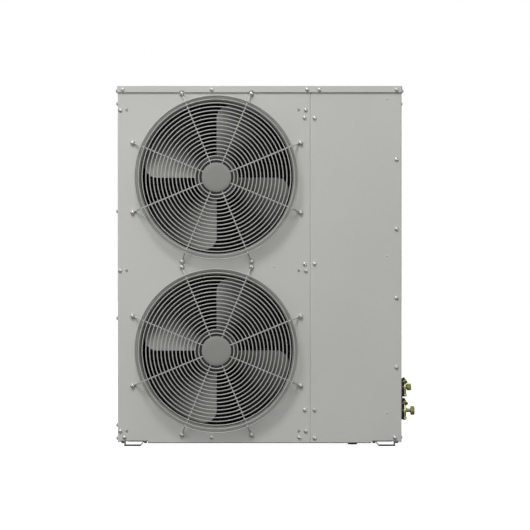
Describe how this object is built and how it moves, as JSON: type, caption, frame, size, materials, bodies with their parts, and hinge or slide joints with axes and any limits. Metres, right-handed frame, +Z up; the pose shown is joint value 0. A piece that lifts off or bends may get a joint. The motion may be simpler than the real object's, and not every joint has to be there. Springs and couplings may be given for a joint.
{
  "type": "air-cooled condenser",
  "caption": "Free-standing air-cooled condenser: sheet-steel cabinet with wire-guarded axial fans in front, an L-shaped finned coil behind and brass service valves on the side.",
  "frame": {"origin": "middle of the four anchor slots, on the floor plane under the feet", "axes": "+Z up, the fan side faces -Y, +X towards the service side with the valves"},
  "size_m": [1.0498, 0.47, 1.2681],
  "materials": {
    "panel_paint": "light grey semi-matt powder coat",
    "fan_plastic": "grey moulded plastic",
    "plain_steel": "bright turned steel",
    "black_motor": "black enamel",
    "black_bracket": "black powder coat",
    "guard_coating": "light grey plastic-coated wire",
    "hub_plate_grey": "mid grey powder coat",
    "coil_guard_coating": "light grey plastic-coated wire",
    "coated_fins": "black epoxy-coated fins",
    "galvanised_sheet": "galvanised",
    "galvanised_plate": "galvanised",
    "black_rubber": "moulded",
    "dark_plate": "dark grey powder coat",
    "brass": "forged and turned"
  },
  "bodies": {
    "cabinet": {"base_pan": "galvanised_sheet", "centre_post": "galvanised_sheet", "coil": "coated_fins", "coil_front_plate": "galvanised_sheet", "coil_rear_plate": "galvanised_sheet", "drain_plug": "black_rubber", "fan_panel": "panel_paint", "front_left_foot": "galvanised_plate", "front_left_post": "panel_paint", "front_right_foot": "galvanised_plate", "gas_flare_nut": "brass", "gas_stem_cap": "brass", "gas_valve_body": "brass", "left_coil_guard": "coil_guard_coating", "left_motor_rail": "black_bracket", "liquid_flare_nut": "brass", "liquid_stem_cap": "brass", "liquid_valve_body": "brass", "lower_bellmouth": "panel_paint", "lower_fan_motor": "black_motor", "lower_guard_hub_plate": "hub_plate_grey", "lower_guard_rings": "guard_coating", "lower_guard_spokes": "guard_coating", "lower_motor_plate": "black_bracket", "partition": "galvanised_sheet", "rear_coil_guard": "coil_guard_coating", "rear_left_foot": "galvanised_plate", "rear_left_post": "panel_paint", "rear_panel": "panel_paint", "rear_right_foot": "galvanised_plate", "right_motor_rail": "black_bracket", "right_side_panel": "panel_paint", "service_panel": "panel_paint", "top_cover": "panel_paint", "upper_bellmouth": "panel_paint", "upper_fan_motor": "black_motor", "upper_guard_hub_plate": "hub_plate_grey", "upper_guard_rings": "guard_coating", "upper_guard_spokes": "guard_coating", "upper_motor_plate": "black_bracket", "valve_plate": "dark_plate"},
    "upper_rotor": {"upper_fan": "fan_plastic", "upper_fan_shaft": "plain_steel"},
    "lower_rotor": {"lower_fan": "fan_plastic", "lower_fan_shaft": "plain_steel"}
  },
  "joints": [
    {"name": "upper_fan_spin", "type": "hinge", "parent": "cabinet", "child": "upper_rotor", "pos_m": [-0.15201, -0.11, 0.94552], "axis": [0, 1, 0], "continuous": true},
    {"name": "lower_fan_spin", "type": "hinge", "parent": "cabinet", "child": "lower_rotor", "pos_m": [-0.15201, -0.11, 0.33484], "axis": [0, 1, 0], "continuous": true}
  ]
}
